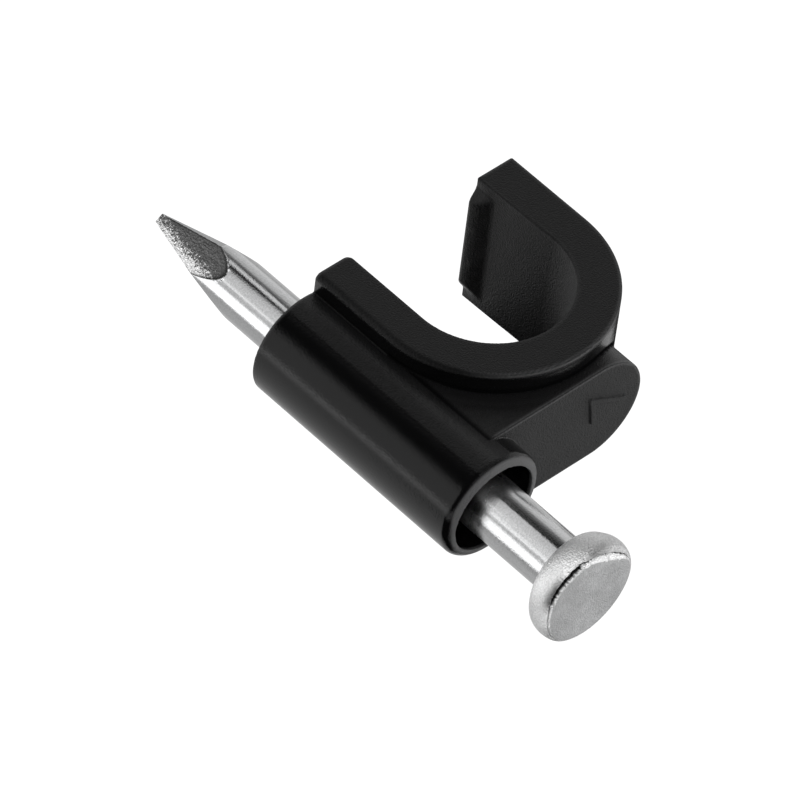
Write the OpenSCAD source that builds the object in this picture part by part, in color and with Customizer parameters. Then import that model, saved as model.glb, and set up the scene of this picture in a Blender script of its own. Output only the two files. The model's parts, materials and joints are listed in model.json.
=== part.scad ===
// Nail-in cable clip: a moulded hook with a nail sleeve on its side, and a steel nail part way in.
// X runs from the nail to the cable, Y into the wall and Z along the cable.
// The origin lies on the nail's axis in the plane of the wall, so the clip stands out along -Y.

/* [Cable hook] */
// Diameter of the cable that the hook holds
cable_d = 7; // [4:0.5:12]
// Thickness of the hook's wall
hook_wall = 1.8; // [1.2:0.1:2.6]
// Width of the hook along the cable
hook_w = 6.8; // [6:0.1:10]
// Straight length of the legs, from the wall to the bend
leg_l = 4.3; // [2.5:0.1:7]
// How far the free leg's inner face leans in at the mouth
leg_lean = 0.1; // [0:0.02:0.4]
// Rounding of the channel's corner at the wall, on the leg beside the sleeve
leg_round = 0.3; // [0.1:0.05:0.6]
// Rounding of that leg's long outer edges
edge_round = 0.4; // [0.1:0.05:0.6]

/* [Retaining lip] */
// Height of the lip above the free leg's inner face
lip_h = 0.42; // [0.2:0.05:0.8]
// Length of the lip from the wall to the foot of its ramp
lip_l = 1.05; // [0.8:0.05:2]
// Radius of the lip's nose
lip_nose = 0.2; // [0.1:0.05:0.3]
// Distance from the hook's faces to the feet of the lip's sloped ends
lip_inset = 0.55; // [0.2:0.05:1]
// Length of the lip's sloped ends
lip_slope = 0.65; // [0.1:0.05:1]

/* [Nail sleeve] */
// Gap between the nail and the wide mouth of the sleeve
mouth_gap = 0.75; // [0.3:0.05:0.85]
// Depth of the wide mouth
mouth_depth = 4; // [1:0.25:5]
// Length of the funnel that leads the point into the grip bore
funnel_l = 0.8; // [0.4:0.1:2]
// Wall of the sleeve round its mouth
sleeve_wall = 0.47; // [0.45:0.01:1.2]
// How far the sleeve stands out past the web
sleeve_out = 1.25; // [0.4:0.1:3]
// Rounding of the sleeve's rim
rim_round = 0.4; // [0.1:0.05:0.4]
// How far the cable channel cuts into the sleeve's side
channel_cut = 0.17; // [0:0.01:0.4]

/* [Web] */
// How far the web stands out past the hook's crown
web_out = 0.5; // [0.2:0.1:2]
// How far the web runs past the cable's axis
web_reach = 3.3; // [2.6:0.1:4]
// Step from the side of the sleeve in to the side of the web
web_step = 0.08; // [0.04:0.02:0.6]

/* [Nail] */
// Diameter of the shank
nail_d = 2.5; // [1.8:0.1:3.2]
// Length from the tip to the face of the head
nail_l = 25.2; // [22:0.1:40]
// How far the round underside of the head stands out past the shank
head_rim = 1.12; // [0.9:0.02:1.6]
// Height of the head's face above its widest place
head_edge = 0.53; // [0.3:0.01:1]
// How far the flat face is set in from the head's widest place
face_inset = 0.19; // [0.1:0.01:0.3]
// Length of the facets of the point
point_l = 4.5; // [2:0.1:6]
// Width of the blunt tip
tip_w = 0.35; // [0.1:0.05:0.6]
// Turn of the point's facets round the nail's axis
facet_turn = 34; // [0:1:90]
// Height of the head's underside above the sleeve's rim before the nail is driven
head_gap = 3.9; // [1:0.1:6]

/* [Fit] */
// Clearance between the shank and the grip bore, on the radius
grip_clear = 0.03; // [0.01:0.01:0.1]

/* [Hidden] */
$fn = 96;

plastic = "#232325";
steel = "#b9bcbe";
// Overlap of shapes that are joined, and reach of cuts past a face
past = 1;
// Number of facets on the point
facets = 4;

nail_r = nail_d / 2;
grip_r = nail_r + grip_clear;
mouth_r = nail_r + mouth_gap;
sleeve_r = mouth_r + sleeve_wall;

cable_r = cable_d / 2;
hook_r = cable_r + hook_wall;
hook_x = sleeve_r - channel_cut + cable_r;
crown = leg_l + hook_r;

web_face = crown + web_out;
web_r = sleeve_r - web_step;
sleeve_l = web_face + sleeve_out;

// The free leg's inner face in the plane of the wall, and the nose of its lip
mouth_x = hook_x + cable_r - leg_lean;
nose = [mouth_x - lip_h + lip_nose, lip_nose];
ramp_foot = [mouth_x + leg_lean * lip_l / leg_l, lip_l];
ramp = ramp_foot - nose;
ramp_turn = atan2(ramp.y, ramp.x) + acos(lip_nose / norm(ramp));
ramp_top = nose + lip_nose * [cos(ramp_turn), sin(ramp_turn)];

head_under = sleeve_l + head_gap;
head_widest = head_under + head_rim;
head_face = head_widest + head_edge;
tip = head_face - nail_l;
head_r = nail_r + head_rim;
face_r = head_r - face_inset;
// Radius of the arc from the head's widest place to the edge of its flat face
head_side_r = (pow(head_edge, 2) + pow(face_inset, 2)) / (2 * face_inset);
point_angle = atan((nail_r - tip_w / 2) / point_l);

// Stands a shape drawn along Z out of the wall, with its Y along the cable
module out_of_wall() {
    rotate([90, 0, 0])
        children();
}

// Carries an outline along the cable; it is drawn with X across and Y out of the wall
module along_cable(width) {
    translate([0, 0, -width / 2])
        mirror([0, 1, 0])
            linear_extrude(width)
                children();
}

// What a round corner at the origin takes off a square one
module corner_waste(radius) {
    difference() {
        translate([-past, -past])
            square(radius + past);
        translate([radius, radius])
            circle(radius);
    }
}

// Outline of the hook before its channel is cut: two legs and a half-round crown
module hook_outline() {
    difference() {
        union() {
            translate([hook_x, leg_l])
                circle(hook_r);
            translate([hook_x - hook_r, 0])
                square([2 * hook_r, leg_l]);
        }
        translate([hook_x - hook_r - past, -hook_r])
            square([2 * (hook_r + past), hook_r]);
    }
}

// Outline of the hook seen along the nail, with the round edges of the leg beside the sleeve
module hook_section() {
    difference() {
        translate([hook_x - hook_r, -hook_w / 2])
            square([2 * hook_r, hook_w]);
        for (side = [0, 1])
            mirror([0, side])
                translate([hook_x - hook_r, -hook_w / 2])
                    corner_waste(edge_round);
    }
}

// Outline of the space for the cable, open at the wall and narrower there by the leg's lean
module channel_outline() {
    translate([hook_x, leg_l])
        circle(cable_r);
    polygon([
        [hook_x - cable_r, leg_l],
        [hook_x - cable_r, -past],
        [mouth_x, -past],
        [mouth_x, 0],
        [hook_x + cable_r, leg_l]
    ]);
    translate([hook_x - cable_r, 0])
        mirror([1, 0])
            corner_waste(leg_round);
}

// Outline of the web, seen along the nail: it ends in a half circle under the cable
module web_outline() {
    translate([0, -web_r])
        square([hook_x + web_reach - web_r, 2 * web_r]);
    translate([hook_x + web_reach - web_r, 0])
        circle(web_r);
}

// Half section of the sleeve, with its rounded rim
module sleeve_section() {
    square([sleeve_r, sleeve_l - rim_round]);
    square([sleeve_r - rim_round, sleeve_l]);
    translate([sleeve_r - rim_round, sleeve_l - rim_round])
        circle(rim_round);
}

// Half section of the hole for the nail: wide mouth, funnel and grip bore
module bore_section() {
    mouth_floor = sleeve_l - mouth_depth;
    translate([0, -past])
        square([grip_r, sleeve_l]);
    translate([0, mouth_floor])
        square([mouth_r, mouth_depth + past]);
    polygon([
        [0, mouth_floor],
        [mouth_r, mouth_floor],
        [grip_r, mouth_floor - funnel_l],
        [0, mouth_floor - funnel_l]
    ]);
}

// Ridge on the inside of the free leg that keeps the cable in
module lip() {
    root = mouth_x + hook_wall / 2;
    foot_z = hook_w / 2 - lip_inset;
    top_z = foot_z - lip_slope;
    crest_x = mouth_x - lip_h;
    intersection() {
        along_cable(hook_w) {
            translate(nose)
                circle(lip_nose);
            polygon([[nose.x, 0], nose, ramp_top, ramp_foot, [root, lip_l], [root, 0]]);
        }
        out_of_wall()
            linear_extrude(lip_l)
                polygon([
                    [crest_x, -top_z],
                    [mouth_x, -foot_z],
                    [root, -foot_z],
                    [root, foot_z],
                    [mouth_x, foot_z],
                    [crest_x, top_z]
                ]);
    }
}

// One moulding: sleeve, hook, web and lip
module clip_body() {
    color(plastic) {
        difference() {
            union() {
                out_of_wall()
                    rotate_extrude()
                        sleeve_section();
                intersection() {
                    along_cable(hook_w)
                        hook_outline();
                    out_of_wall()
                        linear_extrude(crown)
                            hook_section();
                }
                out_of_wall()
                    translate([0, 0, leg_l])
                        linear_extrude(web_face - leg_l)
                            web_outline();
            }
            along_cable(hook_w + 2 * past)
                channel_outline();
            out_of_wall()
                rotate_extrude()
                    bore_section();
        }
        lip();
    }
}

// Half section of the head: a quarter-round underside, then a flatter arc up to the face
module head_section() {
    intersection() {
        translate([nail_r, head_widest])
            circle(head_rim);
        translate([nail_r, head_under])
            square(head_rim);
    }
    intersection() {
        translate([head_r - head_side_r, head_widest])
            circle(head_side_r);
        translate([0, head_widest])
            square([head_r, head_edge]);
    }
    translate([0, head_widest])
        square([face_r, head_edge]);
}

// Waste that leaves the flat facets of the point
module point_waste() {
    reach = nail_d + point_l;
    for (side = [0 : facets - 1])
        rotate([0, 0, facet_turn + side * 360 / facets])
            translate([tip_w / 2, -reach / 2, tip])
                rotate([0, point_angle, 0])
                    translate([0, 0, -past])
                        cube([reach, reach, reach + past]);
}

// Steel nail with a button head and a diamond point
module nail() {
    color(steel)
        out_of_wall()
            difference() {
                rotate_extrude() {
                    translate([0, tip])
                        square([nail_r, nail_l]);
                    head_section();
                }
                point_waste();
            }
}

clip_body();
nail();
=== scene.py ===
"""Looks of the nail-in cable clip: the black moulding, its size number and the steel nail.

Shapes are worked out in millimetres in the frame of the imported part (X from the nail to the cable,
Y into the wall, Z along the cable) and stored in metres. Heights out of the wall count along -Y.
"""
import json
import math

import bpy
import numpy as np
from mathutils import Matrix, Vector


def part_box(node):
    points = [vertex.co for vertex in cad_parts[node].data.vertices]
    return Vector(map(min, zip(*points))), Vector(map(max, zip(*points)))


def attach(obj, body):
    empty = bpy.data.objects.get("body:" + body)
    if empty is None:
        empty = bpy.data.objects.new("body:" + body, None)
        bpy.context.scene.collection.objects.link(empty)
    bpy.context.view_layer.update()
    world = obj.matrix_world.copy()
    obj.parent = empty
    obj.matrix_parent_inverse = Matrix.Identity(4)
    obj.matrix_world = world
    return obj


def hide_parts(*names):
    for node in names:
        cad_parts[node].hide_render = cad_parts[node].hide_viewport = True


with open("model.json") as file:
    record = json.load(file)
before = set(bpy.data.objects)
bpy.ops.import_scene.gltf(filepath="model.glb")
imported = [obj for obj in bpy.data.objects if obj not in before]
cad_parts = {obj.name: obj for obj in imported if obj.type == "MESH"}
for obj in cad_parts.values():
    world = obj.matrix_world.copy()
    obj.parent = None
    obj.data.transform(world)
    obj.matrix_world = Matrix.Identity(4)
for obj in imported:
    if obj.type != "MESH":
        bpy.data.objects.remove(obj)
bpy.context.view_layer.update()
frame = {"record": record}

MM = 0.001

# Main sizes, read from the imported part
mounts = {mount["name"]: mount for mount in frame["record"]["mounts"]}
channel = mounts["cable_channel"]
CABLE_R = channel["dims"]["r_mm"]
HOOK_X = channel["pos_m"][0] / MM
LEG_L = -channel["pos_m"][1] / MM
NAIL_R = mounts["nail_entry"]["dims"]["r_mm"]
clip_low, clip_high = (np.array(corner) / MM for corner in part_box("clip_body"))
nail_low, nail_high = (np.array(corner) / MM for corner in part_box("nail"))
SLEEVE_R = -clip_low[0]
SLEEVE_L = -clip_low[1]
HOOK_HALF = clip_high[2]
HOOK_R = clip_high[0] - HOOK_X
HEAD_R = nail_high[2]
HEAD_FACE = -nail_low[1]
TIP = -nail_high[1]

# Sizes of the moulding that only its own surface needs, in millimetres
LEG_LEAN = 0.1
LEG_ROUND = 0.3
LEG_EDGE = 0.3
SHARP_EDGE = 0.07
LIP_H = 0.42
LIP_L = 1.05
LIP_NOSE = 0.2
LIP_FOOT_Z = HOOK_HALF - 0.55
LIP_SLOPE = 0.65
LIP_ROOT = 0.9
WEB_FACE = LEG_L + HOOK_R + 0.5
WEB_R = SLEEVE_R - 0.08
WEB_DROP = 0.055
WEB_END = HOOK_X + 3.3 - WEB_R - WEB_DROP
FAR_EDGE = 0.35
RIM_ROUND = 0.4
MOUTH_R = 2.0
MOUTH_FLOOR = SLEEVE_L - 4
FUNNEL_L = 0.8
GRIP_R = NAIL_R + 0.03
GRID_MARGIN = 0.1

# Sizes of the nail that only its own surface needs, in millimetres
HEAD_EDGE = 0.53
HEAD_SPARE = 0.01
POINT_ROWS_L = 5.7
TURN_POINTS = 420

# Rows of points on the head, counted from the middle of its face
FACE_END = 9
BEVEL_END = FACE_END + 6
LAP_FLOOR = BEVEL_END + 4
LAP_END = LAP_FLOOR + 5
SIDE_ROWS = 26

# Flats of the point: turn in degrees, half width at the tip, and height where the flat runs out.
# The last is the worn corner between the two flats that show.
FLATS = (
    (34, 0.26, -3.5),
    (124, 0.175, -3.7),
    (214, 0.175, -3.1),
    (304, 0.175, -3.8),
    (79, 0.29, -4.8),
)
NEAR_FLAT, NEXT_FLAT, FAR_FLAT = 1, 2, 3


def smooth_step(low, high, value):
    """0 below low, 1 above high, and an S-shaped ramp between."""
    share = np.clip((value - low) / (high - low), 0, 1)
    return share * share * (3 - 2 * share)


def common(a, b, radius):
    """Field of what two solids share, with their shared outer edge rounded to a radius."""
    beyond = np.hypot(np.maximum(a + radius, 0), np.maximum(b + radius, 0))
    return np.minimum(np.maximum(a, b), -radius) + beyond


def joined(a, b, radius):
    """Field of two solids together, with a hollow fillet of a radius where they meet."""
    before = np.hypot(np.maximum(radius - a, 0), np.maximum(radius - b, 0))
    return np.maximum(np.minimum(a, b), radius) - before


def sleeve_field(x, out, z):
    """Cylinder round the nail's axis with a round rim."""
    return common(np.hypot(x, z) - SLEEVE_R, out - SLEEVE_L, RIM_ROUND)


def hook_field(x, out, z):
    """Half-round crown on two legs, carried along the cable.

    The leg by the sleeve has soft edges, and so has the crown on its far side.
    """
    across = x - HOOK_X
    past_bend = np.maximum(out - LEG_L, 0)
    outline = np.hypot(across, past_bend) - HOOK_R
    turned = np.degrees(np.arctan2(past_bend, -across))
    soft = 1 - smooth_step(0, 62, turned)
    far = smooth_step(0.5, -0.5, z) * smooth_step(150, 110, turned)
    edge = np.maximum(SHARP_EDGE + (LEG_EDGE - SHARP_EDGE) * soft, FAR_EDGE * far)
    return common(outline, np.abs(z) - HOOK_HALF, edge)


def web_outline(x, z):
    """Distance from the web's outline seen along the nail: straight sides and a half-round end."""
    return np.hypot(np.maximum(x - WEB_END, 0), z + WEB_DROP) - WEB_R - WEB_DROP


def web_field(x, out, z):
    """Tongue from the sleeve across the crown, with a half-round end and a flat face."""
    tongue = common(web_outline(x, z), out - WEB_FACE, SHARP_EDGE)
    return np.maximum(tongue, np.maximum(LEG_L - out, -x))


def open_field(x, out):
    """What the cable's channel and the wall leave free: round bed, straight legs, rounded mouth."""
    across = x - HOOK_X
    lean = LEG_LEAN * np.clip(1 - out / LEG_L, 0, 1)
    bed = np.hypot(across, np.maximum(out - LEG_L, 0)) - CABLE_R
    bed = np.where(across > 0, bed + lean, bed)
    mouth = np.where(across < 0, LEG_ROUND, SHARP_EDGE)
    return common(-bed, -out, mouth)


def lip_field(x, out, z):
    """Ridge by the wall on the free leg: round nose, ramp towards the bed and sloped ends."""
    mouth_x = HOOK_X + CABLE_R - LEG_LEAN
    crest_x = mouth_x - LIP_H
    nose = np.array([crest_x + LIP_NOSE, LIP_NOSE])
    foot = np.array([mouth_x + LEG_LEAN * LIP_L / LEG_L, LIP_L])
    ramp = foot - nose
    turn = math.atan2(ramp[1], ramp[0]) + math.acos(LIP_NOSE / np.hypot(*ramp))
    ramp_side = (x - nose[0]) * math.cos(turn) + (out - nose[1]) * math.sin(turn) - LIP_NOSE
    section = common(common(crest_x - x, ramp_side, LIP_NOSE), -out, LIP_NOSE)
    slant = math.hypot(LIP_H, LIP_SLOPE)
    ends = (LIP_SLOPE * (mouth_x - x) + LIP_H * (np.abs(z) - LIP_FOOT_Z)) / slant
    root = np.maximum(np.abs(z) - LIP_FOOT_Z, x - mouth_x - LIP_ROOT)
    return np.maximum(common(section, ends, SHARP_EDGE), root)


def bore_field(x, out, z):
    """Hole for the nail: wide mouth, funnel and grip bore."""
    radius = np.hypot(x, z)
    mouth = np.maximum(radius - MOUTH_R, MOUTH_FLOOR - out)
    taper = (MOUTH_R - GRIP_R) / FUNNEL_L
    cone = (radius - MOUTH_R - (out - MOUTH_FLOOR) * taper) / math.hypot(1, taper)
    cone = np.maximum(cone, radius - MOUTH_R)
    funnel = np.maximum(cone, np.maximum(out - MOUTH_FLOOR, MOUTH_FLOOR - FUNNEL_L - out))
    return np.minimum(np.minimum(mouth, funnel), radius - GRIP_R)


def clip_field(x, y, z):
    """Signed distance to the moulding's surface, below 0 inside it."""
    out = -y
    body = joined(hook_field(x, out, z), sleeve_field(x, out, z), 0.05)
    body = joined(body, web_field(x, out, z), 0.04)
    body = common(body, open_field(x, out), SHARP_EDGE)
    body = joined(body, lip_field(x, out, z), 0.06)
    return common(body, -bore_field(x, out, z), 0.04)


def graded(low, high, step, fine_step, fine_at, reach):
    """Grid lines from low to high, a step apart, drawn closer round the places in fine_at."""
    line = np.linspace(low, high, 4001)
    near = np.min([np.abs(line - place) for place in fine_at], axis=0)
    density = 1 / (fine_step + (step - fine_step) * smooth_step(0, reach, near))
    count = np.concatenate([[0], np.cumsum((density[1:] + density[:-1]) / 2 * np.diff(line))])
    return np.interp(np.linspace(0, count[-1], int(count[-1]) + 1), count, line)


def slope(field, points, reach=0.002):
    """Gradient of a field at points, from its values a little to either side."""
    steps = np.eye(3) * reach
    return np.stack(
        [field(*(points + step).T) - field(*(points - step).T) for step in steps], axis=1
    ) / (2 * reach)


def unit_rows(vectors):
    """Vectors brought to a length of 1; a vector of no length stays as it is."""
    return vectors / np.maximum(np.linalg.norm(vectors, axis=1, keepdims=True), 1e-9)


def onto_surface(field, points, passes=4):
    """Slides points along the field's gradient until the field is zero there."""
    for _ in range(passes):
        gradient = slope(field, points)
        size = np.maximum((gradient ** 2).sum(1), 0.05)
        points = points - (field(*points.T) / size)[:, None] * gradient
    return points


def evened(points, faces, normals):
    """Moves each point half way to the mean of its neighbours, along the surface only."""
    ends = np.concatenate([faces, np.roll(faces, 1, axis=1)]).ravel()
    others = np.concatenate([np.roll(faces, 1, axis=1), faces]).ravel()
    near = np.bincount(ends, minlength=len(points))
    mean = np.stack(
        [np.bincount(ends, points[others, i], len(points)) / near for i in range(3)], axis=1
    )
    normals = unit_rows(normals)
    move = (mean - points) / 2
    return points + move - (move * normals).sum(1, keepdims=True) * normals


def field_surface(field, lines):
    """Closed surface where a field is zero, on a grid of lines along X, Y and Z.

    Each cell that the surface crosses gets one point, the mean of the crossings on the cell's edges,
    which is then slid onto the surface. Each grid edge that the surface crosses gets one four-sided
    face between the points of the four cells round it. A moulding with blended walls isn't a
    function of two parameters, so its surface is found this way.
    """
    values = field(*np.meshgrid(*lines, indexing="ij"))
    inside = values < 0
    cells = tuple(len(line) - 1 for line in lines)
    total = np.zeros(cells + (3,))
    count = np.zeros(cells)

    def cell_beside(at, axis, du, dv):
        """Index of one of the four cells round a grid edge."""
        cell = at.copy()
        cell[:, (axis + 1) % 3] -= du
        cell[:, (axis + 2) % 3] -= dv
        return tuple(cell.T)

    crossed = []
    for axis in range(3):
        low = [slice(None)] * 3
        high = [slice(None)] * 3
        low[axis] = slice(None, -1)
        high[axis] = slice(1, None)
        at = np.argwhere(inside[tuple(low)] != inside[tuple(high)])
        crossed.append(at)
        ahead = at + np.eye(3, dtype=int)[axis]
        first = values[tuple(at.T)]
        share = first / (first - values[tuple(ahead.T)])
        point = np.stack([line[at[:, i]] for i, line in enumerate(lines)], axis=1)
        point[:, axis] += share * (lines[axis][ahead[:, axis]] - lines[axis][at[:, axis]])
        for du in (0, 1):
            for dv in (0, 1):
                cell = cell_beside(at, axis, du, dv)
                np.add.at(total, cell, point)
                np.add.at(count, cell, 1)
    used = count > 0
    number = np.full(cells, -1)
    number[used] = np.arange(used.sum())
    points = total[used] / count[used][:, None]
    faces = []
    for axis, at in enumerate(crossed):
        ring = ((1, 1), (0, 1), (0, 0), (1, 0))
        quads = np.stack([number[cell_beside(at, axis, du, dv)] for du, dv in ring], axis=1)
        leaving = inside[tuple(at.T)]
        faces.append(np.where(leaving[:, None], quads, quads[:, ::-1]))
    faces = np.concatenate(faces)
    points = onto_surface(field, points)
    for _ in range(2):
        points = onto_surface(field, evened(points, faces, slope(field, points)), 2)
    return points, faces


def new_piece(name, points, faces, body, material, normals=None, marks=None):
    """Mesh piece from points in millimetres; marks are named values, one for each point."""
    mesh = bpy.data.meshes.new(name)
    mesh.from_pydata(points * MM, [], faces)
    mesh.polygons.foreach_set("use_smooth", np.ones(len(mesh.polygons), bool))
    for mark, values in (marks or {}).items():
        layer = mesh.attributes.new(mark, "FLOAT", "POINT")
        layer.data.foreach_set("value", np.asarray(values, np.float32))
    if normals is not None:
        mesh.normals_split_custom_set_from_vertices(normals)
    mesh.materials.append(material)
    piece = bpy.data.objects.new(name, mesh)
    bpy.context.scene.collection.objects.link(piece)
    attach(piece, body)
    return piece


def shader_node(tree, kind, settings=None, **inputs):
    """Adds a node: settings are its own properties, inputs are values or sockets to link.

    An input is named as on the node, with _ for a space, or as _0, _1 and so on by its place.
    """
    node = tree.nodes.new(kind)
    for key, value in (settings or {}).items():
        setattr(node, key, value)
    for key, value in inputs.items():
        place = int(key[1:]) if key[1:].isdigit() else key.replace("_", " ")
        socket = node.inputs[place]
        if isinstance(value, bpy.types.NodeSocket):
            tree.links.new(value, socket)
        else:
            socket.default_value = value
    return node


def new_material(name):
    """Material with a Principled shader; returns it, its node tree and the shader."""
    material = bpy.data.materials.new(name)
    material.use_nodes = True
    return material, material.node_tree, material.node_tree.nodes["Principled BSDF"]


def mark_value(tree, name):
    """A piece's own named value at each point."""
    return shader_node(tree, "ShaderNodeAttribute", {"attribute_name": name}).outputs["Fac"]


def noise(tree, place, scale, detail):
    """Cloudy pattern from 0 to 1 over a place."""
    node = shader_node(tree, "ShaderNodeTexNoise", Vector=place, Scale=scale, Detail=detail)
    return node.outputs["Fac"]


def blended(tree, share, low, high):
    """Number that goes from low to high as share goes from 0 to 1."""
    node = shader_node(tree, "ShaderNodeMapRange", Value=share, To_Min=low, To_Max=high)
    return node.outputs["Result"]


def mixed_colour(tree, share, first, second):
    """Colour that goes from first to second as share goes from 0 to 1."""
    node = shader_node(tree, "ShaderNodeMix", {"data_type": "RGBA"}, _0=share, _6=first, _7=second)
    return node.outputs[2]


def sum_of(tree, first, second, operation="ADD"):
    """Sum of two numbers, or another plain sum that operation names."""
    node = shader_node(tree, "ShaderNodeMath", {"operation": operation}, _0=first, _1=second)
    return node.outputs[0]


def times(tree, first, second):
    """Product of two numbers."""
    return sum_of(tree, first, second, "MULTIPLY")


def moulded_black():
    """Black moulding: fine spark grain on the flat faces, a polished sleeve, painted highlights and
    shade.
    """
    material, tree, shader = new_material("moulded_black")
    place = shader_node(tree, "ShaderNodeTexCoord").outputs["Object"]
    grain = noise(tree, place, 15000.0, 2.0)
    cloud = noise(tree, place, 420.0, 4.0)
    rough = mark_value(tree, "rough")
    deep = mixed_colour(tree, cloud, (0.0035, 0.0035, 0.0037, 1), (0.006, 0.006, 0.0063, 1))
    # Convex edges and the web's side by the crown painted lighter: painted highlight and painted
    # reflection
    painted_highlights = mixed_colour(tree, mark_value(tree, "edge"), deep, (0.15, 0.15, 0.152, 1))
    # Painted reflection on the sleeve's rim, from the rim mark
    rim_reflection = mixed_colour(tree, mark_value(tree, "rim"), painted_highlights, (0.19, 0.19, 0.192, 1))
    tree.links.new(rim_reflection, shader.inputs["Base Color"])
    uneven = times(tree, sum_of(tree, cloud, 0.5, "SUBTRACT"), 0.25)
    polish = sum_of(tree, rough, times(tree, rough, uneven))
    tree.links.new(polish, shader.inputs["Roughness"])
    # The shine mark sets the specular level; turned down, it paints shade in hollows and creases
    tree.links.new(mark_value(tree, "shine"), shader.inputs["Specular IOR Level"])
    lift = times(tree, grain, rough)
    bump = shader_node(tree, "ShaderNodeBump", Height=lift, Strength=1.0, Distance=0.00009)
    tree.links.new(bump.outputs["Normal"], shader.inputs["Normal"])
    return material


def zinc_steel():
    """Bright zinc on drawn steel: streaks along the shank, a satin face, rough flats, shade painted in
    the lap.
    """
    material, tree, shader = new_material("zinc_steel")
    shader.inputs["Metallic"].default_value = 1.0
    place = shader_node(tree, "ShaderNodeTexCoord").outputs["Object"]
    drawn = shader_node(tree, "ShaderNodeMapping", Vector=place, Scale=(2600.0, 70.0, 2600.0))
    streak = noise(tree, drawn.outputs["Vector"], 1.0, 5.0)
    speck = noise(tree, place, 13500.0, 3.0)
    blot = noise(tree, place, 12000.0, 2.0)
    cut, face, shank, struck = (mark_value(tree, n) for n in ("cut", "face", "shank", "struck"))

    # Colour: plated steel, the paler struck head, the dark torn flats with bright flakes, and
    # painted shade on the head's side, in the lap and along the point's seams
    uneven = sum_of(tree, times(tree, streak, 0.5), times(tree, speck, 0.5))
    plated = mixed_colour(tree, uneven, (0.24, 0.242, 0.245, 1), (0.76, 0.764, 0.768, 1))
    beaten = mixed_colour(tree, speck, (0.44, 0.443, 0.446, 1), (1.0, 1.0, 1.0, 1))
    torn = mixed_colour(tree, speck, (0.03, 0.03, 0.03, 1), (0.2, 0.2, 0.2, 1))
    flakes = sum_of(tree, times(tree, blot, 3.0), times(tree, mark_value(tree, "fleck"), 1.6))
    flaked = shader_node(tree, "ShaderNodeMapRange", Value=flakes, From_Min=2.15, From_Max=2.75)
    colour = mixed_colour(tree, struck, plated, beaten)
    colour = mixed_colour(tree, cut, colour, torn)
    # Painted shade on the head's side past the lap
    colour = mixed_colour(tree, mark_value(tree, "soot"), colour, (0.03, 0.03, 0.03, 1))
    colour = mixed_colour(tree, flaked.outputs["Result"], colour, (0.95, 0.95, 0.95, 1))
    # Painted shade, near black, in the head's lap and along the seams between the point's flats
    colour = mixed_colour(tree, mark_value(tree, "lap"), colour, (0.015, 0.015, 0.015, 1))
    tree.links.new(colour, shader.inputs["Base Color"])

    gloss = blended(tree, streak, 0.11, 0.17)
    for mark, more in ((face, 0.26), (struck, 0.24), (cut, 0.2), (mark_value(tree, "dull"), 0.14)):
        gloss = sum_of(tree, gloss, blended(tree, mark, 0.0, more))
    tree.links.new(gloss, shader.inputs["Roughness"])

    lines = times(tree, streak, times(tree, shank, 0.3))
    pits = times(tree, speck, blended(tree, shank, 1.1, 0.09))
    relief = sum_of(tree, lines, pits)
    bump = shader_node(tree, "ShaderNodeBump", Height=relief, Strength=0.7, Distance=0.00005)
    tree.links.new(bump.outputs["Normal"], shader.inputs["Normal"])
    shader.inputs["Anisotropic"].default_value = 0.7
    shader.inputs["Anisotropic Rotation"].default_value = 0.25
    around = shader_node(tree, "ShaderNodeTangent", {"direction_type": "RADIAL", "axis": "Y"})
    tree.links.new(around.outputs["Tangent"], shader.inputs["Tangent"])
    return material


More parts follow.
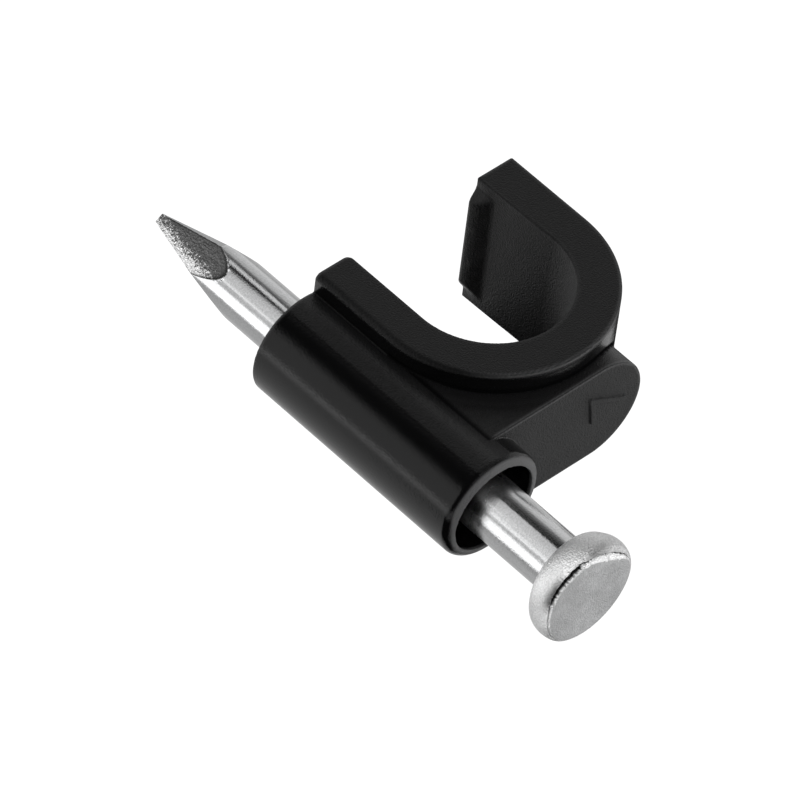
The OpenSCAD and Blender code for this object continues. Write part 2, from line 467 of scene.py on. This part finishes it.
def clip_marks(points, normals):
    """How rough and shiny the moulding is in each place, and where light and shade are painted on it.

    The sleeve and the hook's outside are polished, the flat faces and the channel are grained, and
    hollow corners are duller, with shade painted by a lower specular. Edges are painted lighter as a
    highlight. Edges and hollows are found from the field a small depth below and above the surface:
    on a flat wall it changes by just that depth.
    """
    x, y, z = points.T
    out = -y
    facing_out = -normals[:, 1]
    from_axis = np.hypot(x, z)
    from_sleeve = from_axis - SLEEVE_R
    from_bend = np.hypot(x - HOOK_X, np.maximum(out - LEG_L, 0))
    from_crown = from_bend - HOOK_R
    from_web = web_outline(x, z)
    from_free_leg = x - (HOOK_X + CABLE_R - LEG_LEAN)
    depth = 0.16
    edge = (clip_field(*(points - depth * normals).T) + depth) / depth
    hollow = (depth - clip_field(*(points + depth * normals).T)) / depth

    # Places that are finished alike
    in_channel = smooth_step(0.2, 0.1, from_bend - CABLE_R)
    on_face = smooth_step(HOOK_HALF - 0.3, HOOK_HALF - 0.15, np.abs(z))
    on_web = smooth_step(0.1, 0.05, np.abs(out - WEB_FACE)) * smooth_step(0.6, 0.9, facing_out)
    on_side = smooth_step(0.12, 0.04, np.abs(from_web)) * smooth_step(0.6, 0.3, facing_out)
    on_crown = smooth_step(0.1, 0.04, np.abs(from_crown)) * (out > LEG_L)
    free_end = on_crown * smooth_step(2, 4, x - HOOK_X)
    on_nose = smooth_step(0.75, 0.45, out) * smooth_step(0.1, 0, from_free_leg) * (x > HOOK_X)
    grained = np.maximum(in_channel * (1 - 0.4 * on_nose), on_face)

    # Painted shade in the corners beside the web, and a painted reflection that makes the web's
    # side greyer by the crown
    notch_shade = on_crown * smooth_step(0.3, 0.2, from_web) * smooth_step(0, 1.6, z)
    crease_shade = on_side * smooth_step(0.07, 0.01, from_sleeve) * smooth_step(0, 0.008, from_sleeve)
    crease_shade = crease_shade * (x > 0.4)
    # Painted reflection: the web's side is painted greyer near the crown, carried in the edge mark
    web_side_reflection = 0.07 * on_side * smooth_step(0.72, 0.56, from_crown) * (1 - crease_shade)
    below_web = smooth_step(0, -0.15, out - WEB_FACE)
    hollow = np.clip(1.3 * hollow, 0, 1) * below_web * (1 - 0.75 * on_side)

    # Painted reflection on the sleeve's rim: a lighter, rougher ring, narrower on the side that turns
    # away from the lamps
    away = smooth_step(0.2, 0.8, np.cos(np.arctan2(z, x) - np.radians(228)))
    level = (facing_out - 0.3 * away) / (1 - 0.3 * away) - 0.25 * away
    at_rim = smooth_step(1.92, 1.99, from_axis) * (out > SLEEVE_L - 0.3)
    rim = smooth_step(0.5, 0.78, level) * at_rim

    rough = 0.09 + np.max(
        [0.33 * grained, 0.46 * on_web, 0.3 * on_side, 0.5 * rim, 0.15 * hollow], axis=0
    )
    shine = 0.5 - 0.12 * np.maximum(grained, on_web) - 0.2 * rim
    # Painted shade: the specular is turned down in hollows, the notch beside the web, the crease by
    # the sleeve and the hook's free end
    shine = shine * (1 - np.max([hollow, notch_shade, 0.9 * crease_shade], axis=0)) * (1 - 0.3 * free_end)
    # Convex edges painted lighter as a highlight, less so in the channel, with the painted reflection
    # on the web's side
    edge = np.maximum(np.clip(edge, 0, 1) * (1 - 0.8 * in_channel), web_side_reflection)
    return {"rough": rough, "shine": shine, "edge": edge, "rim": rim}


def build_clip(material):
    """The moulding's surface, finer where its edges and rim are."""
    fine_x = (0.5, HOOK_X + CABLE_R - 0.3)
    fine_y = (0, -WEB_FACE, -SLEEVE_L + 0.15)
    fine_z = (-HOOK_HALF, -WEB_R, WEB_R, HOOK_HALF)
    low, high = clip_low - GRID_MARGIN, clip_high + GRID_MARGIN
    lines = (
        graded(low[0], high[0], 0.098, 0.073, fine_x, 0.6),
        graded(low[1], high[1], 0.106, 0.041, fine_y, 0.5),
        graded(low[2], high[2], 0.106, 0.041, fine_z, 0.4),
    )
    points, faces = field_surface(clip_field, lines)
    normals = unit_rows(slope(clip_field, points))
    marks = clip_marks(points, normals)
    piece = new_piece("clip_moulding", points, faces, "clip", material, normals, marks)
    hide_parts("clip_body")
    return piece


def ringed_surface(rings):
    """Points and faces of a closed shape, for rings of points from one pole to the other.

    The first and the last ring are single points; each ring between has as many points as the next.
    """
    count, round_points = rings.shape[:2]
    points = np.concatenate([rings[0, :1], rings[1:-1].reshape(-1, 3), rings[-1, :1]])
    here = np.arange(round_points)
    after = np.roll(here, -1)
    start = 1 + np.arange(count - 3)[:, None] * round_points
    below = start + round_points
    quads = np.stack([start + here, start + after, below + after, below + here], -1)
    last = 1 + (count - 3) * round_points
    first_fan = np.stack([np.zeros_like(here), 1 + after, 1 + here], -1)
    last_fan = np.stack([np.full_like(here, len(points) - 1), last + here, last + after], -1)
    faces = quads.reshape(-1, 4).tolist() + first_fan.tolist() + last_fan.tolist()
    return points, faces


def lattice_noise(u, v, seed):
    """Smooth noise from -1 to 1 over a plane: random values at whole numbers, eased between them.

    Both ways it comes round again after the table's length, so it closes round the nail.
    """
    size = 64
    table = np.random.default_rng(seed).uniform(-1, 1, (size, size))
    column, row = np.floor(u).astype(int), np.floor(v).astype(int)
    p, q = u - column, v - row
    p, q = p * p * (3 - 2 * p), q * q * (3 - 2 * q)

    def corner(i, j):
        return table[(column + i) % size, (row + j) % size]

    near = corner(0, 0) * (1 - p) + corner(1, 0) * p
    far = corner(0, 1) * (1 - p) + corner(1, 1) * p
    return near * (1 - q) + far * q


def along_turn(turn, pairs):
    """Value at each turn in degrees, drawn through pairs of turn and value that come round again."""
    places, values = zip(*pairs)
    return np.interp(np.degrees(turn) % 360, places, values, period=360)


def build_number(material):
    """Raised size number on the web: a low ridge carried along its two strokes.

    Across a stroke the top is flat and the height falls to the sides in an S-shaped ramp. The corner
    is mitred, and the ends close in half circles. The ridge's foot is sunk into the web.
    """
    half, rise, sunk, set_in = 0.19, 0.085, 0.05, 0.003
    bend = 0.45
    bar_end, corner, stem_end = np.array([(6.50, -0.38), (6.30, 0.85), (8.10, -0.12)])
    along = [stroke / np.hypot(*stroke) for stroke in (corner - bar_end, stem_end - corner)]
    across = [np.array([-way[1], way[0]]) for way in along]
    mitre = (across[0] + across[1]) / (1 + across[0] @ across[1])
    cap = np.radians(np.linspace(90, 0, 7))[:, None]
    middles = np.concatenate([
        bar_end - half * np.sin(cap) * along[0],
        [corner - bend * along[0], corner, corner + bend * along[1]],
        stem_end + half * np.sin(cap[::-1]) * along[1],
    ])
    sides = np.concatenate([
        np.cos(cap) * across[0], [across[0], mitre, across[1]], np.cos(cap[::-1]) * across[1],
    ])
    height = rise * np.concatenate([np.cos(cap), np.ones((3, 1)), np.cos(cap[::-1])])
    share = np.linspace(-1, 1, 25)
    top = height * smooth_step(1, 0.45, np.abs(share)) - set_in
    level = np.concatenate([top, np.full((len(top), 2), -sunk)], axis=1)
    place = np.concatenate([share, [0.5, -0.5]])
    flat = middles[:, None] + half * place[:, None] * sides[:, None]
    rings = np.stack([flat[..., 0], -WEB_FACE - level, flat[..., 1]], -1)
    points, faces = ringed_surface(rings)
    alike = {"rough": 0.55, "shine": 0.38, "edge": 0.0, "rim": 0.0}
    marks = {name: np.full(len(points), value) for name, value in alike.items()}
    return new_piece("size_number", points, faces, "clip", material, None, marks)


def head_rows(turn):
    """Rows of the head from the middle of its face to the shank: radius and height at each turn.

    The flat face ends in a bevel and an open lap where the steel folded over as the head was struck;
    past the lap the side swells out to the widest place and runs under the head in a quarter circle.
    """
    widest = HEAD_FACE - HEAD_EDGE
    rim = HEAD_R - HEAD_SPARE - NAIL_R
    ragged = 0.5 * lattice_noise(turn * 32 / np.pi, 0.5, 3)
    ragged = ragged + 0.5 * lattice_noise(turn * 96 / np.pi, 1.5, 4)
    torn = along_turn(turn, ((20, 0), (38, 1), (160, 1), (175, 0.4), (210, 0.3), (225, 0)))
    seam = along_turn(turn, (
        (0, 2.18), (35, 2.10), (46, 2.01), (66, 1.95), (90, 2.08), (106, 2.24), (130, 2.29),
        (150, 2.31), (166, 2.25), (184, 2.19), (212, 2.21), (250, 2.18), (310, 2.18),
    )) + 0.08 * ragged * torn
    gap = along_turn(turn, (
        (20, 0.02), (40, 0.08), (95, 0.1), (112, 0.22), (130, 0.2), (148, 0.12), (170, 0.06),
        (210, 0.04), (230, 0.01),
    ))
    depth = along_turn(turn, (
        (20, 0), (40, 0.09), (95, 0.13), (112, 0.3), (155, 0.26), (172, 0.08), (208, 0.05), (228, 0),
    ))
    bevel = along_turn(turn, (
        (15, 0.04), (38, 0.2), (55, 0.27), (80, 0.24), (98, 0.13), (120, 0.06), (200, 0.05),
        (230, 0.04),
    ))
    brim = HEAD_FACE - along_turn(turn, (
        (20, 0.03), (40, 0.09), (95, 0.1), (112, 0.17), (155, 0.16), (172, 0.08), (230, 0.03),
    ))
    drop = 0.5 * bevel
    inner = seam - gap - bevel
    floor = HEAD_FACE - drop - depth
    radius, height = [], []
    for share in np.linspace(0, 1, FACE_END):
        radius.append(inner * share)
        height.append(HEAD_FACE + 0 * turn)
    for share in np.linspace(0, 1, BEVEL_END - FACE_END + 1)[1:]:
        radius.append(inner + bevel * share)
        height.append(HEAD_FACE - drop * (0.4 * share + 0.6 * share ** 2))
    for share in np.linspace(0, 1, LAP_FLOOR - BEVEL_END + 1)[1:]:
        radius.append(seam - gap * (1 - 0.5 * share))
        height.append(HEAD_FACE - drop - depth * share ** 0.7)
    for share in np.linspace(0, 1, LAP_END - LAP_FLOOR + 1)[1:]:
        radius.append(seam - gap * 0.5 * (1 - share))
        height.append(floor + (brim - floor) * share ** 1.4)
    for bend in np.radians(np.linspace(0, 90, SIDE_ROWS + 1)[1:]):
        radius.append(seam + (NAIL_R + rim - seam) * np.sin(bend))
        height.append(widest + (brim - widest) * np.cos(bend))
    for bend in np.radians(np.linspace(0, 90, SIDE_ROWS + 1)[1:]):
        radius.append(NAIL_R + rim * np.cos(bend) + 0 * turn)
        height.append(widest - rim * np.sin(bend) + 0 * turn)
    return np.array(radius), np.array(height)


def point_planes(turn, height):
    """How far each flat of the point lets the steel reach, at each turn and height.

    Four flats meet at the blunt tip. Between the two that show, the corner is worn to a narrow flat.
    """
    grazing, far_off = 0.08, 9.0
    reaches = []
    for middle, half_tip, back in FLATS:
        off = half_tip + (height - TIP) * (NAIL_R - half_tip) / (back - TIP)
        facing = np.cos(turn - np.radians(middle))
        reaches.append(np.where(facing > grazing, off / np.maximum(facing, grazing), far_off))
    return np.array(reaches)


def head_marks(turn, marks):
    """Sets the marks of the head's rows: satin face, flaked bevel, painted shade in the lap and past
    it.
    """
    marks["face"][:FACE_END] = 1
    marks["struck"][FACE_END:] = 1
    marks["fleck"][FACE_END:BEVEL_END] = along_turn(turn, ((20, 0), (36, 1), (102, 1), (110, 0)))
    # Painted shade in the lap's crevice, fullest where it opens wide
    marks["lap"][BEVEL_END + 1:LAP_END - 2] = along_turn(turn, (
        (20, 0), (36, 0.9), (100, 0.9), (112, 1), (158, 1), (170, 0.5), (210, 0.35), (228, 0),
    ))
    wide_open = along_turn(turn, ((104, 0), (110, 1), (154, 1), (162, 0)))
    marks["lap"][BEVEL_END:LAP_END] = np.maximum(marks["lap"][BEVEL_END:LAP_END], wide_open)
    # How strong the painted shade on the head's side past the lap is at each turn
    shade = along_turn(turn, (
        (30, 0.1), (60, 0.2), (75, 0.5), (90, 0.65), (97, 0.3), (105, 0), (124, 0), (134, 0.5),
        (141, 0.8), (158, 0.75), (165, 0.3), (172, 0.05), (215, 0),
    ))
    past_lap = np.arange(len(marks["soot"]))[:, None] - LAP_END
    marks["soot"][:] = (past_lap >= 0) * smooth_step(28, 6, past_lap) * shade


def build_nail(material):
    """The nail's surface: radius as a function of the turn and of the place along the half section."""
    turn = np.linspace(0, 2 * np.pi, TURN_POINTS, endpoint=False)
    head_radius, head_height = head_rows(turn)
    under = head_height[-1, 0]
    start = TIP + POINT_ROWS_L
    stem = np.concatenate([
        under - np.array([0.03, 0.1]),
        np.linspace(under, start, 31)[1:],
        np.linspace(start, TIP, 119)[1:],
    ])[:, None] + 0 * turn
    along = stem - TIP

    # The shank, cut down to whichever flat reaches least; flats are torn and have burrs at their ends
    planes = point_planes(turn, stem)
    order = np.sort(np.concatenate([planes, np.full((1,) + stem.shape, NAIL_R)]), axis=0)
    seam = np.exp(-((order[1] - order[0]) / 0.045) ** 2)
    nearest = planes.argsort(0)
    first = nearest[0]
    cut = (planes.min(0) < NAIL_R) * ((first == NEAR_FLAT) | (first == FAR_FLAT)).astype(float)
    rough = lattice_noise(along * 9, turn * 32 / np.pi, 5)
    rough = rough + 0.6 * lattice_noise(along * 21, turn * 96 / np.pi, 6)
    reach = order[0] - 0.014 * cut * (rough + 0.6) * (1 - seam) * smooth_step(0, 0.6, along)
    burr = np.exp(-((planes[NEAR_FLAT] - NAIL_R - 0.012) / 0.012) ** 2)
    burr = burr * smooth_step(0.1, 0.7, rough)
    reach = reach + 0.05 * burr * (np.abs(stem + 3.4) < 0.9)

    # Rings from the head's face to the tip, with the head a little out of centre
    tip_shares = np.linspace(1, 0, 4)[1:, None]
    radius = np.concatenate([head_radius, reach, reach[-1:] * tip_shares])
    height = np.concatenate([head_height, stem, TIP + 0 * tip_shares * turn])
    lean = smooth_step(under, under + 0.6, height)
    x = radius * np.cos(turn) - 0.09 * lean
    z = radius * np.sin(turn) - 0.08 * lean
    points, faces = ringed_surface(np.stack([x, -height, z], -1))

    names = ("cut", "fleck", "lap", "face", "shank", "struck", "soot", "dull")
    marks = {name: np.zeros(radius.shape) for name in names}
    top = len(head_radius)
    bottom = top + len(stem)
    head_marks(turn, {name: grid[:top] for name, grid in marks.items()})
    marks["cut"][top:bottom] = cut
    marks["cut"][bottom:] = 1
    aside = reach * np.sin(turn - np.radians(FLATS[NEAR_FLAT][0]))
    fleck = np.clip(0.35 + 1.1 * (aside - 0.12 * (along - 1.5)), 0, 1)
    marks["fleck"][top:bottom] = fleck * (first == NEAR_FLAT) * cut
    open_side = (first == NEAR_FLAT) & (nearest[1] == NEXT_FLAT) & (order[1] < NAIL_R)
    open_side = open_side & (planes.max(0) > 0)
    # Painted shadow of the burrs along the seams between the point's flats
    marks["lap"][top:bottom] = 0.95 * seam * cut * smooth_step(0.15, 0.6, along) * ~open_side
    marks["shank"][top:bottom] = 1 - cut
    in_mouth = smooth_step(SLEEVE_L + 1.2, SLEEVE_L, stem) * smooth_step(4, 8, stem)
    marks["dull"][top:bottom] = in_mouth
    marks = {
        name: np.concatenate([grid[0, :1], grid[1:-1].ravel(), grid[-1, :1]])
        for name, grid in marks.items()
    }
    piece = new_piece("steel_nail", points, faces, "nail", material, None, marks)
    piece.data.set_sharp_from_angle(angle=math.radians(50))
    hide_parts("nail")
    return piece


def direction(azimuth, elevation):
    """Unit vector towards an azimuth and an elevation in degrees."""
    flat, rise = math.radians(azimuth), math.radians(elevation)
    return Vector(
        (math.cos(rise) * math.cos(flat), math.cos(rise) * math.sin(flat), math.sin(rise))
    )


def softbox(pieces, name, azimuth, elevation, width, height, brightness, fade, distance=0.5,
            middle=(2, -4, 0)):
    """Lamp in a direction from a place, as wide and high as so many degrees look; 1 is paper white.

    Its light fades out towards the edges, over a share of its half width, as a cloth front does. It
    lights only the pieces that are named.
    """
    lamp = bpy.data.lights.new(name, "AREA")
    lamp.shape = "RECTANGLE"
    lamp.size = 2 * distance * math.tan(math.radians(width / 2))
    lamp.size_y = 2 * distance * math.tan(math.radians(height / 2))
    lamp.energy = brightness * math.pi * lamp.size * lamp.size_y
    lamp.use_nodes = True
    tree = lamp.node_tree
    spot = shader_node(tree, "ShaderNodeNewGeometry").outputs["Parametric"]
    sides = shader_node(tree, "ShaderNodeSeparateXYZ", Vector=spot)
    ramps = []
    for side in ("X", "Y"):
        off = sum_of(tree, sides.outputs[side], 0.5, "SUBTRACT")
        off = shader_node(tree, "ShaderNodeMath", {"operation": "ABSOLUTE"}, _0=off).outputs[0]
        ramp = shader_node(
            tree, "ShaderNodeMapRange", {"interpolation_type": "SMOOTHSTEP"},
            Value=off, From_Min=0.5, From_Max=0.5 - 0.5 * fade,
        )
        ramps.append(ramp.outputs["Result"])
    tree.links.new(times(tree, *ramps), tree.nodes["Emission"].inputs["Strength"])
    box = bpy.data.objects.new(name, lamp)
    bpy.context.scene.collection.objects.link(box)
    towards = direction(azimuth, elevation)
    place = Vector(middle) * MM + towards * distance
    turned = towards.to_track_quat("Z", "Y").to_matrix().to_4x4()
    box.matrix_world = Matrix.Translation(place) @ turned
    box.visible_camera = False
    group = bpy.data.collections.new(name + "_lights")
    for piece in pieces:
        group.objects.link(piece)
    box.light_linking.receiver_collection = group
    return box


def card(name, corners, material):
    """Flat four-sided piece of the studio."""
    mesh = bpy.data.meshes.new(name)
    mesh.from_pydata(corners, [], [(0, 1, 2, 3)])
    mesh.materials.append(material)
    piece = bpy.data.objects.new(name, mesh)
    bpy.context.scene.collection.objects.link(piece)
    return piece


def level_corners(low_x, low_y, high_x, high_y, height):
    """Corners of a level oblong from its lowest to its highest corner, in millimetres."""
    corners = ((low_x, low_y), (high_x, low_y), (high_x, high_y), (low_x, high_y))
    return [(x * MM, y * MM, height * MM) for x, y in corners]


def reflected_card(name, corners, grey):
    """Matt grey card that only reflections show."""
    material, _, shader = new_material(name)
    shader.inputs["Base Color"].default_value = (grey, grey, grey, 1)
    shader.inputs["Roughness"].default_value = 0.9
    piece = card(name, corners, material)
    piece.visible_camera = False
    piece.visible_diffuse = False
    piece.visible_shadow = False


def build_floor():
    """White floor below the clip: paper that also shows white to the camera and in reflections."""
    material = bpy.data.materials.new("white_floor")
    material.use_nodes = True
    tree = material.node_tree
    tree.nodes.clear()
    path = shader_node(tree, "ShaderNodeLightPath").outputs
    mirrored = sum_of(tree, path["Is Glossy Ray"], path["Is Transmission Ray"], "MAXIMUM")
    glow = sum_of(tree, path["Is Camera Ray"], times(tree, mirrored, 0.52))
    paper = shader_node(tree, "ShaderNodeBsdfDiffuse", Color=(0.8, 0.8, 0.8, 1))
    light = shader_node(tree, "ShaderNodeEmission", Strength=glow)
    both = shader_node(tree, "ShaderNodeAddShader", _0=paper.outputs[0], _1=light.outputs[0])
    shader_node(tree, "ShaderNodeOutputMaterial", Surface=both.outputs[0])
    half = 4000
    card("floor", level_corners(-half, -half, half, half, -200), material)


def build_flags():
    """Dark cards that shape the reflections.

    Black flags low on the camera's side give the dark round of the rim, and sheets close under the
    hook lie where the clip's own shade would.
    """
    reach = 0.17
    places = ((160, -12), (240, -12), (240, -62), (160, -62))
    reflected_card("black_flag", [reach * direction(*place) for place in places], 0.01)
    reflected_card("low_flag", level_corners(-25, -50, 30, -13, -60), 0.01)
    reflected_card("shade", level_corners(3, -7, 12, 0.5, -6), 0.01)
    reflected_card("half_shade", level_corners(12, -7, 22, 2, -6), 0.3)


def build_world():
    """White wall behind and beside the clip, up to a height; the rest of the room is dim."""
    world = bpy.data.worlds.new("studio")
    bpy.context.scene.world = world
    world.use_nodes = True
    tree = world.node_tree
    tree.nodes.clear()
    way = shader_node(tree, "ShaderNodeTexCoord").outputs["Generated"]
    parts = shader_node(tree, "ShaderNodeSeparateXYZ", Vector=way).outputs
    level = shader_node(tree, "ShaderNodeCombineXYZ", X=parts["X"], Y=parts["Y"]).outputs[0]
    level = shader_node(tree, "ShaderNodeVectorMath", {"operation": "NORMALIZE"}, _0=level)
    facing = shader_node(
        tree, "ShaderNodeVectorMath", {"operation": "DOT_PRODUCT"},
        _0=level.outputs[0], _1=direction(70, 0),
    )
    behind = shader_node(
        tree, "ShaderNodeMapRange", Value=facing.outputs["Value"],
        From_Min=math.cos(math.radians(110)), From_Max=math.cos(math.radians(98)),
    )
    soft = shader_node(
        tree, "ShaderNodeMapRange", Value=parts["X"],
        From_Min=-0.5, From_Max=0.5, To_Min=0.02, To_Max=0.3,
    ).outputs["Result"]
    wall_top = math.sin(math.radians(37))
    wall = shader_node(
        tree, "ShaderNodeMapRange", Value=parts["Z"],
        From_Min=sum_of(tree, wall_top, soft, "SUBTRACT"), From_Max=sum_of(tree, wall_top, soft),
        To_Min=0.576, To_Max=0.0,
    )
    lit_wall = times(tree, wall.outputs["Result"], behind.outputs["Result"])
    room = sum_of(tree, lit_wall, 0.024)
    seen = shader_node(tree, "ShaderNodeLightPath").outputs["Is Camera Ray"]
    strength = sum_of(tree, room, seen, "MAXIMUM")
    back = shader_node(tree, "ShaderNodeBackground", Color=(1, 1, 1, 1), Strength=strength)
    shader_node(tree, "ShaderNodeOutputWorld", Surface=back.outputs[0])


def build_camera():
    """Camera fitted to the photograph: long lens, looking down along the nail from its head."""
    camera = bpy.data.cameras.new("camera")
    camera.lens = 363.45
    camera.sensor_width = 36
    camera.clip_start = 0.01
    eye = bpy.data.objects.new("camera", camera)
    bpy.context.scene.collection.objects.link(eye)
    right = Vector((0.73399728, -0.67336648, 0.08846231))
    up = Vector((0.45005609, 0.57980484, 0.67917293))
    back = Vector((-0.50862316, -0.45869808, 0.72862786))
    aim = Vector((1.75227, -4.16555, -1.11224)) * MM
    place = aim + back * 318.13 * MM
    eye.matrix_world = Matrix((
        (right.x, up.x, back.x, place.x),
        (right.y, up.y, back.y, place.y),
        (right.z, up.z, back.z, place.z),
        (0, 0, 0, 1),
    ))
    bpy.context.scene.camera = eye


# Lamps: name, azimuth, elevation, width and height in degrees, brightness, share of the half width
# that fades, and then, where they differ from the usual, the distance in metres and the place aimed at
MOULDING_LAMPS = (
    ("overhead_for_moulding", 60, 53, 72, 40, 0.42, 0.6),
    ("front_for_moulding", 270, 52, 60, 30, 0.4, 0.5),
    ("low_front_for_moulding", 295, -10, 76, 44, 1.2, 0.3, 0.3),
    ("strip_for_moulding", 153, -5, 30, 8, 1.2, 0.6),
)
STEEL_LAMPS = (
    ("overhead_for_steel", 144, 55, 45, 57, 0.95, 0.08, 0.05),
    ("left_for_steel", 195, 52, 60, 30, 1.8, 0.3),
    ("top_for_steel", 270, 58, 80, 60, 1.7, 0.4),
    ("behind_for_steel", 112, -12, 44, 40, 1.7, 0.5),
    ("under_for_steel", 318, -47, 40, 40, 0.26, 0.3, 0.15),
    ("strip_for_steel", 152, -2, 22, 39, 1.7, 0.3, 0.4),
    ("between_for_steel", 150, 24, 30, 22, 0.35, 0.7),
    ("right_for_steel", 33, 22, 30, 46, 0.4, 0.35),
    ("near_for_steel", 68, 55, 11, 15, 1.1, 0.2, 0.063),
    ("front_for_steel", 314, -7, 50, 22, 2.0, 0.3),
    ("thrown_back_for_steel", 90, 0, 36, 25, 0.75, 0.2, 0.00975, (5.8, -20, 0)),
    ("low_for_steel", 214, -43, 80, 44, 1.3, 0.2, 0.09),
)

black = moulded_black()
clip = build_clip(black)
number = build_number(black)
nail = build_nail(zinc_steel())
moulding = [clip, number]
build_floor()
build_flags()
build_world()
build_camera()
for settings in MOULDING_LAMPS:
    softbox(moulding, *settings)
fill = softbox(moulding, "fill_for_moulding", 258, 48, 70, 60, 1.0, 0.4)
fill.visible_glossy = False
for settings in STEEL_LAMPS:
    softbox([nail], *settings)

bpy.context.scene.view_settings.view_transform = "Standard"
